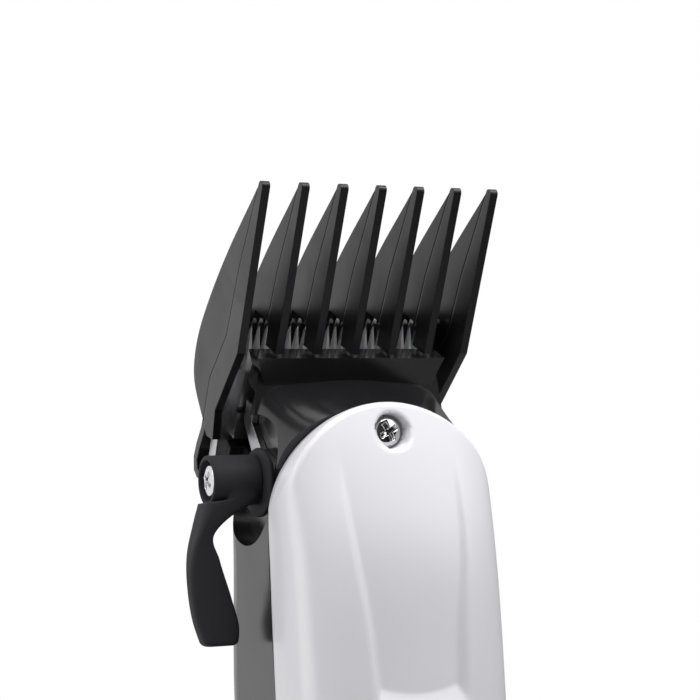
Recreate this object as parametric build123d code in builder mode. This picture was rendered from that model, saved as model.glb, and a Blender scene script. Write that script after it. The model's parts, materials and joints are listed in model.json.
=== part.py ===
from build123d import *
import os
from math import cos, radians, sin
from typing import NamedTuple

# Frame: the foot stands on Z = 0, the cover faces -Y, the taper lever is on -X,
# the skin side of the blade faces +Y. All lengths in mm.

# Body form
wall = 2.4
parting_y = -4.0
parting_gap = 0.2
arch_base = 116.0
arch_radius = 22.25
arch_turn = 112.0
rim_y = -10.6
rim_z = 138.2
end_wall = 3.0
scoop_top = 127.0
scoop_bottom = 82.0
scoop_depth = 1.5
cavity_top = 121.0


class Station(NamedTuple):
    height: float
    half_width: float
    front: float
    front_round: float
    back: float
    back_round: float


foot = Station(0.0, 16.0, -14.0, 9.0, 14.5, 8.0)
low_grip = Station(30.0, 19.4, -18.6, 12.5, 20.2, 10.0)
mid_grip = Station(60.0, 21.5, -21.9, 15.5, 26.2, 12.0)
palm = Station(88.0, 22.0, -22.2, 16.0, 28.4, 13.0)
shoulder = Station(114.0, 22.0, -19.8, 14.0, 25.0, 12.0)
cover_crown = Station(128.0, 22.0, -15.6, 9.4, 24.0, 9.0)
cover_tip = Station(142.0, 22.0, -11.4, 5.4, 24.0, 9.0)
neck = Station(130.0, 21.0, -16.0, 6.0, 25.0, 8.0)
head_top = Station(152.0, 18.4, -12.0, 5.0, 30.0, 6.0)
front_fullness = 0.76

# Blade frame: n runs back through the blades, t runs up to the tooth tips
blade_tilt = 26.5
blade_y = 2.0
blade_z = 148.0
tilt_cos = cos(radians(blade_tilt))
tilt_sin = sin(radians(blade_tilt))

# Fixed blade
fixed_half_width = 22.5
fixed_front = 9.65
fixed_back = 13.05
fixed_tip = 4.6
fixed_root = -1.6
fixed_heel = -28.2
fixed_tip_thick = 0.9
fixed_bevel_start = -7.0
fixed_pitch = 1.36
fixed_gaps = 32
blade_screw_x = 9.0
blade_screw_t = -24.8

# Moving blade
cutter_half_top = 19.8
cutter_half_bottom = 20.8
cutter_front = 6.2
cutter_back = 9.6
cutter_tip = 3.7
cutter_root = -2.4
cutter_bottom = -19.0
cutter_tip_thick = 0.8
cutter_pitch = 1.63
cutter_gaps = 23
stroke = 1.4
drive_notch_half = 2.1
drive_notch_top = -14.4
finger_half = 2.0
finger_top = -16.3
finger_bottom = -18.2

# Nose of the housing in front of the moving blade
ledge_front = 0.5
ledge_back = 5.8
ledge_top = -0.1
ledge_foot = -7.2
ledge_half = 20.0
ledge_foot_half = 17.4
relief_front = 0.6
relief_top = -7.0
seat_top = -20.9
seat_bottom = -29.0
nose_front_y = -11.0
nose_middle_y = -5.0
nose_back_y = 5.0
nose_skin = 2.6
head_cavity_half = 15.2

# Half outlines of the nose as (half width, rise above arch_base), from the flank to the crown
nose_front = ((22.25, 0.0), (20.6, 8.4), (17.5, 13.74), (14.5, 16.88), (8.0, 20.76), (0.0, 22.25))
nose_middle = ((22.0, 0.0), (21.0, 8.8), (19.6, 14.4), (17.2, 18.4), (9.4, 22.2), (0.0, 23.6))
nose_back = ((21.8, 0.0), (20.9, 10.0), (20.2, 19.5), (18.2, 25.2), (10.0, 27.6), (0.0, 28.3))

# Taper mechanism
hub_y = 6.6
hub_z = 125.1
hub_radius = 4.85
hub_outer = -30.0
hub_inner = -20.2
recess_radius = 12.6
recess_floor = -18.0
shaft_radius = 2.5
cam_radius = 3.5
cam_offset = 1.6
lever_swing = 55.0
follower_outer = -19.3
follower_inner = -18.1
fit = 0.05
guide_half = 14.0
guide_front = 2.6
guide_back = 5.9
guide_top = -11.5
guide_bottom = -14.5
rib_half = 0.55
rib_t = -13.0

# Comb
fin_half = 0.68
fin_front_half = 0.8
comb_side_clear = 0.49
fin_pitch = (fixed_half_width + comb_side_clear + fin_front_half) / 3
comb_slot_front = 5.5
comb_slot_back = 13.4
comb_slot_top = 5.3
comb_finger_foot = 0.8
comb_skin = 1.7

# Vibrator drive
pivot_z = 62.0
pivot_radius = 2.0
bush_radius = 3.0
arm_half = 3.5
arm_depth = 5.0
arm_top = 116.0
tail_bottom = 43.0
pole_face = 5.3
yoke_in = 11.0
yoke_out = 15.0
core_depth = 7.0
core_bottom = 70.0
core_top = 112.0
pole_height = 9.0
spring_z = 48.0
spring_radius = 2.6
wire_radius = 0.35
spring_seat = 14.0
power_floor = 19.6

# Switch and inlet
switch_y = 6.0
switch_z = 66.0
switch_floor = -20.9
switch_travel = 4.0
inlet_y = 4.6
inlet_half_x = 7.2
inlet_half_y = 3.6
inlet_depth = 12.0

# Cover fasteners
cover_screw_z = arch_base + 16.6
cover_screw_seat = -10.3
low_screw_x = 12.0
low_screw_z = 14.0
screw_head = 2.7
screw_shank = 1.2


hub_n = (hub_y - blade_y) * tilt_cos + (hub_z - blade_z) * tilt_sin
hub_t = (hub_z - blade_z) * tilt_cos - (hub_y - blade_y) * tilt_sin
cam_n = hub_n - cam_offset * cos(radians(lever_swing / 2))
cam_t = hub_t + cam_offset * sin(radians(lever_swing / 2))


def side(n, t):
    return (blade_y + n * tilt_cos - t * tilt_sin, blade_z + n * tilt_sin + t * tilt_cos)


blade_plane = Plane(origin=(0, blade_y, blade_z), x_dir=(1, 0, 0), z_dir=(0, -tilt_cos, -tilt_sin))
side_plane = Plane(origin=(0, blade_y, blade_z), x_dir=(0, tilt_cos, tilt_sin), z_dir=(1, 0, 0))


def blade_at(n):
    return blade_plane.offset(-n)


def body_form(stations, inset=0.0):
    with BuildPart() as form:
        for s in stations:
            w = s.half_width - inset
            yf, yb = s.front + inset, s.back - inset
            a, b = yf + s.front_round, yb - s.back_round
            with BuildSketch(Plane.XY.offset(s.height)):
                with BuildLine():
                    Line((w, a), (w, b))
                    Bezier((w, b), (w, b + 0.62 * s.back_round), (0.56 * w, yb), (0, yb))
                    Bezier((0, yb), (-0.56 * w, yb), (-w, b + 0.62 * s.back_round), (-w, b))
                    Line((-w, b), (-w, a))
                    Bezier((-w, a), (-w, a - front_fullness * s.front_round), (-front_fullness * w, yf), (0, yf))
                    Bezier((0, yf), (front_fullness * w, yf), (w, a - front_fullness * s.front_round), (w, a))
                make_face()
        loft()
    return form.part


def nose_form(inset=0.0):
    keep = 1 - inset / arch_radius
    with BuildPart() as nose:
        for y, half_outline in ((nose_front_y, nose_front), (nose_middle_y, nose_middle), (nose_back_y, nose_back)):
            right = [(x * keep, arch_base + rise * keep) for x, rise in half_outline]
            left = [(-x, z) for x, z in right[:-1]]
            with BuildSketch(Plane.XZ.offset(-y)):
                with BuildLine():
                    Spline(*left, *reversed(right))
                    Polyline(right[0], (30, arch_base - 8), (30, 60), (-30, 60), (-30, arch_base - 8), left[0])
                make_face()
        loft()
    return nose.part


# One hollow shared by the housing and its cover
with BuildPart() as hollow:
    add(body_form((foot, low_grip, mid_grip, palm, shoulder, cover_crown), wall))
    with Locations((0, 0, end_wall)):
        Box(80, 80, cavity_top - end_wall, align=(Align.CENTER, Align.CENTER, Align.MIN), mode=Mode.INTERSECT)

# The housing keeps a thick cheek behind the lever recess
with BuildPart() as grip_hollow:
    add(hollow.part)
    with BuildSketch(Plane.YZ.offset(-head_cavity_half)):
        with Locations((hub_y, hub_z)):
            Circle(recess_radius + 1.8)
    extrude(amount=-20, mode=Mode.SUBTRACT)

# Lower housing: grip shell, nose with ledge, blade seat, bosses
with BuildPart() as housing:
    add(body_form((foot, low_grip, mid_grip, palm, shoulder, neck, head_top)))
    with BuildSketch(Plane.YZ):
        with BuildLine():
            Line((parting_y, 0), (parting_y, arch_turn))
            TangentArc((parting_y, arch_turn), (rim_y, rim_z), tangent=(0, 1))
            Polyline((rim_y, rim_z), (rim_y, 160), (48, 160), (48, 0), (parting_y, 0))
        make_face()
    extrude(amount=40, both=True, mode=Mode.INTERSECT)
    # Nose that grows from the cover's arch back to the ledge
    with BuildPart(mode=Mode.PRIVATE) as nose_waste:
        with Locations((0, nose_back_y, arch_base - 14)):
            Box(80, 40, 60, align=(Align.CENTER, Align.MAX, Align.MIN))
        add(nose_form(), mode=Mode.SUBTRACT)
    add(nose_waste.part, mode=Mode.SUBTRACT)
    # Ledge bar, then the blade seat and the side reliefs behind it
    with BuildSketch(blade_at(ledge_back)):
        Polygon((-ledge_half, ledge_top), (ledge_half, ledge_top), (ledge_foot_half, ledge_foot), (-ledge_foot_half, ledge_foot),
                align=None)
    extrude(amount=ledge_back - ledge_front)
    with BuildSketch(side_plane):
        Polygon((-30, 20), (-30, ledge_top), (ledge_back, ledge_top), (ledge_back, relief_top),
                (relief_front, relief_top), (relief_front, seat_top),
                (fixed_front, seat_top), (fixed_front, seat_bottom), (fixed_front + 10, seat_bottom - 3.5),
                (fixed_front + 30, seat_bottom - 3.5), (60, 20), align=None)
    extrude(amount=40, both=True, mode=Mode.SUBTRACT)
    add(grip_hollow.part, mode=Mode.SUBTRACT)
    # Head hollow behind the nose
    with BuildPart(mode=Mode.PRIVATE) as head_hollow:
        with BuildSketch(Plane.YZ):
            Polygon(side(ledge_back + 1, relief_top), side(2.6, relief_top - 0.4), (-0.5, 138.8), (-6.2, 134.4),
                    (-1.8, 118), (18, 118), side(fixed_front - 4.4, seat_top), side(ledge_back + 1, seat_top), align=None)
        extrude(amount=head_cavity_half, both=True)
        with BuildPart(mode=Mode.PRIVATE) as nose_inside:
            add(nose_form(nose_skin))
            with Locations((0, nose_back_y, arch_base - 14)):
                Box(80, 40, 60, align=(Align.CENTER, Align.MIN, Align.MIN))
        add(nose_inside.part, mode=Mode.INTERSECT)
    add(head_hollow.part, mode=Mode.SUBTRACT)
    # Lever recess and shaft bore
    with BuildSketch(Plane.YZ.offset(recess_floor)):
        with Locations((hub_y, hub_z)):
            Circle(recess_radius)
    extrude(amount=-20, mode=Mode.SUBTRACT)
    with BuildSketch(Plane.YZ.offset(recess_floor)):
        with Locations((hub_y, hub_z)):
            Circle(shaft_radius + fit)
    extrude(amount=6, mode=Mode.SUBTRACT)
    # Blade screw holes
    with BuildSketch(blade_at(fixed_front)):
        with Locations((-blade_screw_x, blade_screw_t), (blade_screw_x, blade_screw_t)):
            Circle(screw_shank + fit)
    extrude(amount=9, mode=Mode.SUBTRACT)
    # Pivot post, core posts, low cover posts
    with BuildSketch(Plane.XZ.offset(-arm_depth - 0.7)):
        with Locations((0, pivot_z)):
            Circle(4.2)
    extrude(until=Until.NEXT, dir=(0, 1, 0))
    with BuildSketch(Plane.XZ.offset(-core_depth)):
        with Locations(((yoke_in + yoke_out) / 2, core_bottom + 4.5), ((yoke_in + yoke_out) / 2, core_top - 4.5)):
            Circle(2.6)
    extrude(until=Until.NEXT, dir=(0, 1, 0))
    with BuildSketch(Plane.XZ.offset(-parting_y)):
        with Locations((-low_screw_x, low_screw_z), (low_screw_x, low_screw_z)):
            Circle(3.0)
    extrude(until=Until.NEXT, dir=(0, 1, 0))
    with BuildSketch(Plane.XZ.offset(-arm_depth - 0.7)):
        with Locations((0, pivot_z)):
            Circle(pivot_radius + 0.02)
    extrude(amount=-11, mode=Mode.SUBTRACT)
    with BuildSketch(Plane.XZ.offset(-core_depth)):
        with Locations(((yoke_in + yoke_out) / 2, core_bottom + 4.5), ((yoke_in + yoke_out) / 2, core_top - 4.5)):
            Circle(screw_shank + fit)
    extrude(amount=-8, mode=Mode.SUBTRACT)
    with BuildSketch(Plane.XZ.offset(-parting_y)):
        with Locations((-low_screw_x, low_screw_z), (low_screw_x, low_screw_z)):
            Circle(screw_shank + fit)
    extrude(amount=-9, mode=Mode.SUBTRACT)
    with BuildSketch(Plane.XZ.offset(-rim_y)):
        with Locations((0, cover_screw_z)):
            Circle(screw_shank + fit)
    extrude(amount=-9, mode=Mode.SUBTRACT)
    # Spring seat ribs on both sides of the arm tail
    with BuildSketch(Plane.XY.offset(spring_z - 4)):
        with Locations((-spring_seat - 3, 4)):
            Rectangle(6, 14)
    extrude(amount=8)
    # Power screw bore
    with BuildSketch(Plane.YZ.offset(12)):
        with Locations((0, spring_z)):
            Circle(2.0 + fit)
    extrude(amount=14, mode=Mode.SUBTRACT)
    with BuildSketch(Plane.YZ.offset(power_floor)):
        with Locations((0, spring_z)):
            Circle(3.5)
    extrude(amount=10, mode=Mode.SUBTRACT)
    # Switch pocket and stem slot
    with BuildSketch(Plane.YZ.offset(switch_floor)):
        with Locations((switch_y, switch_z)):
            Rectangle(8.4, 17.0)
    extrude(amount=-12, mode=Mode.SUBTRACT)
    with BuildSketch(Plane.YZ.offset(switch_floor)):
        with Locations((switch_y, switch_z)):
            Rectangle(2.6, 4.2 + switch_travel)
    extrude(amount=4, mode=Mode.SUBTRACT)
    # Inlet mouth
    with BuildSketch(Plane.XY):
        with Locations((0, inlet_y)):
            SlotOverall(2 * inlet_half_x, 2 * inlet_half_y)
    extrude(amount=end_wall, mode=Mode.SUBTRACT)
housing.part.label = "lower_housing"

# Top cover: arched lid with a long scooped recess and three screw wells
with BuildPart() as cover:
    add(body_form((foot, low_grip, mid_grip, palm, shoulder, cover_crown, cover_tip)))
    with BuildSketch(Plane.YZ):
        with BuildLine():
            Line((parting_y - parting_gap, 0), (parting_y - parting_gap, arch_turn))
            TangentArc((parting_y - parting_gap, arch_turn), (rim_y - parting_gap, rim_z), tangent=(0, 1))
            Polyline((rim_y - parting_gap, rim_z), (rim_y - parting_gap, 160), (-60, 160), (-60, 0), (parting_y - parting_gap, 0))
        make_face()
    extrude(amount=40, both=True, mode=Mode.INTERSECT)
    with BuildSketch(Plane.XZ):
        with BuildLine():
            CenterArc((0, arch_base), arch_radius, 0, 180)
            Polyline((-arch_radius, arch_base), (-arch_radius - 3, arch_base - 9), (-arch_radius - 3, -5),
                     (arch_radius + 3, -5), (arch_radius + 3, arch_base - 9), (arch_radius, arch_base))
        make_face()
    extrude(amount=60, mode=Mode.INTERSECT)
    add(hollow.part, mode=Mode.SUBTRACT)
    # Screw wells behind the skin
    with BuildSketch(Plane.XZ.offset(-parting_y + parting_gap)):
        with Locations((-low_screw_x, low_screw_z), (low_screw_x, low_screw_z)):
            Circle(screw_head + 1.4)
    extrude(until=Until.NEXT, dir=(0, -1, 0))
    # Scooped recess: the skin drops away towards its foot
    with BuildPart(mode=Mode.PRIVATE) as scoop:
        with BuildSketch(Plane.XZ):
            with BuildLine():
                Spline((-11.4, scoop_top), (-10.6, 116), (-8.6, 98), (-7.0, scoop_bottom + 3))
                ThreePointArc((-7.0, scoop_bottom + 3), (0, scoop_bottom), (7.0, scoop_bottom + 3))
                Spline((7.0, scoop_bottom + 3), (8.6, 98), (10.6, 116), (11.4, scoop_top))
                Line((11.4, scoop_top), (-11.4, scoop_top))
            make_face()
        extrude(amount=60)
        add(body_form((palm._replace(height=scoop_bottom - 12, front=palm.front + scoop_depth),
                       palm._replace(height=scoop_bottom + 6, front=palm.front + scoop_depth),
                       shoulder._replace(front=shoulder.front + 0.7),
                       cover_crown._replace(front=cover_crown.front - 0.4),
                       cover_tip)), mode=Mode.SUBTRACT)
    add(scoop.part, mode=Mode.SUBTRACT)
    with BuildSketch(Plane.XZ.offset(-cover_screw_seat)):
        with Locations((0, cover_screw_z)):
            Circle(screw_head + 0.5)
    extrude(amount=20, mode=Mode.SUBTRACT)
    with BuildSketch(Plane.XZ.offset(-parting_y + 2.2)):
        with Locations((-low_screw_x, low_screw_z), (low_screw_x, low_screw_z)):
            Circle(screw_head + 0.3)
    extrude(amount=30, mode=Mode.SUBTRACT)
    with BuildSketch(Plane.XZ):
        with Locations((0, cover_screw_z), (-low_screw_x, low_screw_z), (low_screw_x, low_screw_z)):
            Circle(screw_shank + 0.3)
    extrude(amount=40, mode=Mode.SUBTRACT)
cover.part.label = "top_cover"

# Fixed blade: bevelled plate with narrow teeth
with BuildPart() as fixed_blade:
    with BuildSketch(side_plane):
        Polygon((fixed_front, fixed_heel), (fixed_front, fixed_tip), (fixed_front + fixed_tip_thick, fixed_tip),
                (fixed_back, fixed_bevel_start), (fixed_back, fixed_heel), align=None)
    extrude(amount=fixed_half_width, both=True)
    with BuildSketch(blade_at(fixed_back + 1)):
        with GridLocations(fixed_pitch, 1, fixed_gaps, 1):
            Polygon((-0.26, fixed_root), (0.26, fixed_root), (0.34, fixed_tip - 1.2), (0.62, fixed_tip + 0.2),
                    (-0.62, fixed_tip + 0.2), (-0.34, fixed_tip - 1.2), align=None)
    extrude(amount=8, mode=Mode.SUBTRACT)
    with BuildSketch(blade_at(fixed_back + 1)):
        with Locations((-blade_screw_x, blade_screw_t), (blade_screw_x, blade_screw_t)):
            Circle(screw_shank + 0.4)
    extrude(amount=8, mode=Mode.SUBTRACT)
    with BuildSketch(blade_at(fixed_back + 1)):
        with Locations((-blade_screw_x, blade_screw_t), (blade_screw_x, blade_screw_t)):
            Circle(screw_head + 0.2)
    extrude(amount=2.8, mode=Mode.SUBTRACT)
fixed_blade.part.label = "fixed_blade"

# Moving blade: narrower cutter with a guide groove and a drive notch
with BuildPart() as cutter:
    with BuildSketch(side_plane):
        Polygon((cutter_back, cutter_bottom), (cutter_back, cutter_tip), (cutter_back - cutter_tip_thick, cutter_tip),
                (cutter_front, cutter_root - 0.8), (cutter_front, cutter_bottom), align=None)
    extrude(amount=cutter_half_bottom, both=True)
    with BuildSketch(blade_at(cutter_back + 1)):
        Polygon((-cutter_half_bottom, cutter_bottom), (cutter_half_bottom, cutter_bottom), (cutter_half_top, cutter_tip),
                (-cutter_half_top, cutter_tip), align=None)
    extrude(amount=8, mode=Mode.INTERSECT)
    with BuildSketch(blade_at(cutter_back + 1)):
        with GridLocations(cutter_pitch, 1, cutter_gaps, 1):
            Polygon((-0.36, cutter_root), (0.36, cutter_root), (0.44, cutter_tip - 1.2), (0.74, cutter_tip + 0.2),
                    (-0.74, cutter_tip + 0.2), (-0.44, cutter_tip - 1.2), align=None)
    extrude(amount=8, mode=Mode.SUBTRACT)
    with BuildSketch(side_plane):
        Polygon((cutter_front - 1, rib_t - rib_half - 0.1), (cutter_front + 1.2, rib_t - rib_half - 0.1),
                (cutter_front + 1.2, rib_t + rib_half + 0.1), (cutter_front - 1, rib_t + rib_half + 0.1), align=None)
    extrude(amount=30, both=True, mode=Mode.SUBTRACT)
    with BuildSketch(blade_at(cutter_back + 1)):
        Polygon((-drive_notch_half, cutter_bottom - 1), (drive_notch_half, cutter_bottom - 1),
                (drive_notch_half, drive_notch_top), (-drive_notch_half, drive_notch_top), align=None)
    extrude(amount=8, mode=Mode.SUBTRACT)
cutter.part.label = "moving_blade"

# Blade screws: flat heads sunk in the back of the fixed blade
with BuildPart() as blade_screws:
    with BuildSketch(blade_at(fixed_back - 0.1)):
        with Locations((-blade_screw_x, blade_screw_t), (blade_screw_x, blade_screw_t)):
            Circle(screw_head)
    extrude(amount=1.6)
    with BuildSketch(blade_at(fixed_back - 1.7)):
        with Locations((-blade_screw_x, blade_screw_t), (blade_screw_x, blade_screw_t)):
            Circle(screw_shank)
    extrude(amount=8)
    with BuildSketch(blade_at(fixed_back - 0.1)):
        with Locations((-blade_screw_x, blade_screw_t), (blade_screw_x, blade_screw_t)):
            Rectangle(0.8, 3.4)
            Rectangle(3.4, 0.8)
    extrude(amount=0.9, mode=Mode.SUBTRACT)
blade_screws.part.label = "blade_screws"

# Cutter guide: slide with a rib in the cutter groove
with BuildPart() as guide:
    with BuildSketch(side_plane):
        Polygon((guide_front, guide_bottom), (guide_back, guide_bottom), (guide_back, rib_t - rib_half),
                (cutter_front + 1.1, rib_t - rib_half), (cutter_front + 1.1, rib_t + rib_half),
                (guide_back, rib_t + rib_half), (guide_back, guide_top), (guide_front, guide_top), align=None)
    extrude(amount=guide_half, both=True)
guide.part.label = "cutter_guide"

# Cutter spring: two bowed leaves under the guide that press the cutter home
with BuildPart() as leaf:
    with BuildSketch(side_plane.offset(-12), side_plane.offset(5.5)):
        Polygon((guide_front + 0.2, guide_bottom - 0.05), (guide_front + 0.8, guide_bottom - 0.05),
                (cutter_front - 0.1, guide_bottom - 1.6), (guide_front + 1.2, guide_bottom - 3.4),
                (guide_front + 0.7, guide_bottom - 3.4), (cutter_front - 0.8, guide_bottom - 1.6), align=None)
    extrude(amount=6.5)
leaf.part.label = "cutter_spring"

# Cam follower: bent steel plate, slotted round the cam, with a flange on the guide
with BuildPart() as follower:
    with BuildSketch(side_plane.offset(follower_outer)):
        Polygon((cam_n - 5.2, cam_t - 5.3), (cam_n + 5.2, cam_t - 5.3), (cam_n + 5.2, cam_t + 2.0), (5.0, guide_top - 3.4),
                (5.0, guide_top + 1.2), (1.0, guide_top + 1.2), (1.0, guide_top - 2.2), (cam_n + 2.4, cam_t + 5.3),
                (cam_n - 5.2, cam_t + 5.3), align=None)
        with Locations((cam_n, cam_t)):
            Rectangle(2 * cam_radius + 1.9, 2 * (cam_radius + fit), mode=Mode.SUBTRACT)
    extrude(amount=follower_inner - follower_outer)
    with BuildSketch(side_plane.offset(follower_inner)):
        Polygon((1.0, guide_top), (5.0, guide_top), (5.0, guide_top + 1.2), (1.0, guide_top + 1.2), align=None)
    extrude(amount=7.5)
follower.part.label = "cam_follower"

# Taper lever: hub, bowed arm and broad paddle
with BuildPart() as lever:
    with BuildSketch(Plane.XZ.offset(-hub_y)):
        with BuildLine():
            Spline((-21.2, hub_z - 4.2), (-25.6, hub_z - 6.6), (-29.6, hub_z - 10.2), (-28.4, hub_z - 15.0),
                   (-26.1, hub_z - 22.7), (-24.9, hub_z - 28.2))
            Polyline((-24.9, hub_z - 28.2), (-25.6, hub_z - 31.2), (-31.9, hub_z - 31.2))
            Spline((-31.9, hub_z - 31.2), (-33.4, hub_z - 26.5), (-34.2, hub_z - 20.5), (-33.9, hub_z - 13.5),
                   (-32.4, hub_z - 8.6), (-29.9, hub_z - 1.0))
            Polyline((-29.9, hub_z - 1.0), (-21.2, hub_z - 1.0), (-21.2, hub_z - 4.2))
        make_face()
    extrude(amount=hub_radius, both=True)
    with BuildSketch(Plane.YZ):
        with BuildLine():
            Spline((hub_y - hub_radius, hub_z), (hub_y - 3.9, hub_z - 6), (hub_y - 2.7, hub_z - 12), (hub_y - 2.1, hub_z - 20),
                   (hub_y - 2.2, hub_z - 33))
            Line((hub_y - 2.2, hub_z - 33), (hub_y + 2.2, hub_z - 33))
            Spline((hub_y + 2.2, hub_z - 33), (hub_y + 2.1, hub_z - 20), (hub_y + 2.7, hub_z - 12), (hub_y + 3.9, hub_z - 6),
                   (hub_y + hub_radius, hub_z))
            Line((hub_y + hub_radius, hub_z), (hub_y - hub_radius, hub_z))
        make_face()
    extrude(amount=60, both=True, mode=Mode.INTERSECT)
    with BuildSketch(Plane.YZ.offset(hub_outer)):
        with Locations((hub_y, hub_z)):
            Circle(hub_radius)
    extrude(amount=hub_inner - hub_outer)
    with BuildSketch(Plane.YZ.offset(hub_outer - 10)):
        with Locations((hub_y, hub_z)):
            Circle(3.9)
    extrude(amount=12.4, mode=Mode.SUBTRACT)
    with BuildSketch(Plane.YZ.offset(hub_outer)):
        with Locations((hub_y, hub_z)):
            Circle(screw_shank + 0.3)
    extrude(amount=6, mode=Mode.SUBTRACT)
    with BuildSketch(Plane.YZ.offset(hub_inner)):
        with Locations((hub_y, hub_z)):
            Circle(shaft_radius + 0.02)
    extrude(amount=-6.3, mode=Mode.SUBTRACT)
lever.part.label = "taper_lever"

with BuildPart() as lever_washer:
    with BuildSketch(Plane.YZ.offset(hub_outer + 1.8)):
        with Locations((hub_y, hub_z)):
            Circle(3.7)
            Circle(screw_shank + 0.2, mode=Mode.SUBTRACT)
    extrude(amount=0.6)
lever_washer.part.label = "lever_washer"

with BuildPart() as lever_screw:
    with BuildSketch(Plane.YZ.offset(hub_outer + 0.5)):
        with Locations((hub_y, hub_z)):
            Circle(2.8)
    extrude(amount=1.3)
    fillet(lever_screw.edges().filter_by(GeomType.CIRCLE).sort_by(Axis.X)[0], 0.7)
    with BuildSketch(Plane.YZ.offset(hub_outer + 1.8)):
        with Locations((hub_y, hub_z)):
            Circle(screw_shank)
    extrude(amount=7)
    with BuildSketch(Plane.YZ.offset(hub_outer + 0.5)):
        with Locations((hub_y, hub_z)):
            Rectangle(0.8, 3.2)
            Rectangle(3.2, 0.8)
    extrude(amount=0.7, mode=Mode.SUBTRACT)
lever_screw.part.label = "lever_screw"

# Lever shaft with its cam disc
with BuildPart() as lever_shaft:
    with BuildSketch(Plane.YZ.offset(hub_inner - 6.25)):
        with Locations((hub_y, hub_z)):
            Circle(shaft_radius)
            Circle(screw_shank + fit, mode=Mode.SUBTRACT)
    extrude(amount=5.5)
    with BuildSketch(Plane.YZ.offset(hub_inner - 0.75)):
        with Locations((hub_y, hub_z)):
            Circle(shaft_radius)
    extrude(amount=6.55)
    with BuildSketch(side_plane.offset(hub_inner + 0.1)):
        with Locations((cam_n, cam_t)):
            Circle(cam_radius)
    extrude(amount=follower_inner - hub_inner - 0.15)
lever_shaft.part.label = "lever_shaft"

with BuildPart() as shaft_clip:
    with BuildSketch(Plane.YZ.offset(-head_cavity_half + 0.1)):
        with Locations((hub_y, hub_z)):
            Circle(4.2)
            Circle(shaft_radius + 0.02, mode=Mode.SUBTRACT)
    extrude(amount=0.7)
shaft_clip.part.label = "shaft_clip"

# Vibrator drive: arm on a pivot, bush, finger that reaches into the cutter
with BuildPart() as arm:
    with BuildSketch(Plane.XZ):
        Polygon((-arm_half, tail_bottom), (arm_half, tail_bottom), (arm_half, arm_top), (-arm_half, arm_top), align=None)
        with Locations((0, pivot_z)):
            Circle(bush_radius + 2.4)
            Circle(bush_radius + 0.02, mode=Mode.SUBTRACT)
    extrude(amount=arm_depth, both=True)
arm.part.label = "armature_arm"

with BuildPart() as bush:
    with BuildSketch(Plane.XZ):
        with Locations((0, pivot_z)):
            Circle(bush_radius)
            Circle(pivot_radius + 0.06, mode=Mode.SUBTRACT)
    extrude(amount=arm_depth, both=True)
bush.part.label = "armature_bush"

with BuildPart() as finger:
    with BuildSketch(Plane.YZ):
        Polygon((-2.6, arm_top), (4.6, arm_top), side(1.6, finger_bottom), side(9.3, finger_bottom), side(9.3, finger_top),
                side(0.4, finger_top), (-1, arm_top + 5), align=None)
    extrude(amount=finger_half, both=True)
finger.part.label = "drive_finger"

with BuildPart() as pivot:
    with BuildSketch(Plane.XZ.offset(arm_depth + 2.0)):
        with Locations((0, pivot_z)):
            Circle(pivot_radius)
    extrude(amount=-(2 * arm_depth + 13))
pivot.part.label = "pivot_pin"

with BuildPart() as pivot_clip:
    with BuildSketch(Plane.XZ.offset(arm_depth + 0.4)):
        with Locations((0, pivot_z)):
            Circle(4.0)
            Circle(pivot_radius + 0.02, mode=Mode.SUBTRACT)
    extrude(amount=0.8)
pivot_clip.part.label = "pivot_clip"

with BuildPart() as core:
    with BuildSketch(Plane.XZ):
        Polygon((pole_face, core_bottom), (yoke_out, core_bottom), (yoke_out, core_top), (pole_face, core_top),
                (pole_face, core_top - pole_height), (yoke_in, core_top - pole_height), (yoke_in, core_bottom + pole_height),
                (pole_face, core_bottom + pole_height), align=None)
        with Locations(((yoke_in + yoke_out) / 2, core_bottom + 4.5), ((yoke_in + yoke_out) / 2, core_top - 4.5)):
            Circle(screw_shank + 0.3, mode=Mode.SUBTRACT)
    extrude(amount=core_depth, both=True)
core.part.label = "stator_core"

coil_bottom = core_bottom + pole_height + 0.5
coil_top = core_top - pole_height - 0.5
yoke_mid = (yoke_in + yoke_out) / 2
yoke_wide = yoke_out - yoke_in
with BuildPart() as bobbin:
    with BuildSketch(Plane.XY.offset(coil_bottom)):
        with Locations((yoke_mid, 0)):
            Rectangle(yoke_wide + 1.2, 2 * core_depth + 1.2)
    extrude(amount=coil_top - coil_bottom)
    with BuildSketch(Plane.XY.offset(coil_bottom), Plane.XY.offset(coil_top - 1.6)):
        with Locations((yoke_mid, 0)):
            RectangleRounded(10.8, 21.2, 2)
    extrude(amount=1.6)
    with BuildSketch(Plane.XY.offset(coil_bottom)):
        with Locations((yoke_mid, 0)):
            Rectangle(yoke_wide + 0.1, 2 * core_depth + 0.1)
    extrude(amount=coil_top - coil_bottom, mode=Mode.SUBTRACT)
bobbin.part.label = "coil_bobbin"

with BuildPart() as winding:
    with BuildSketch(Plane.XY.offset(coil_bottom + 1.65)):
        with Locations((yoke_mid, 0)):
            RectangleRounded(10.0, 20.4, 3)
            Rectangle(yoke_wide + 1.3, 2 * core_depth + 1.3, mode=Mode.SUBTRACT)
    extrude(amount=coil_top - coil_bottom - 3.3)
winding.part.label = "coil_winding"

with BuildPart() as core_screws:
    with BuildSketch(Plane.XZ.offset(core_depth)):
        with Locations((yoke_mid, core_bottom + 4.5), (yoke_mid, core_top - 4.5)):
            Circle(2.4)
    extrude(amount=1.5)
    with BuildSketch(Plane.XZ.offset(core_depth)):
        with Locations((yoke_mid, core_bottom + 4.5), (yoke_mid, core_top - 4.5)):
            Circle(screw_shank)
    extrude(amount=-(2 * core_depth + 7))
core_screws.part.label = "core_screws"

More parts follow.
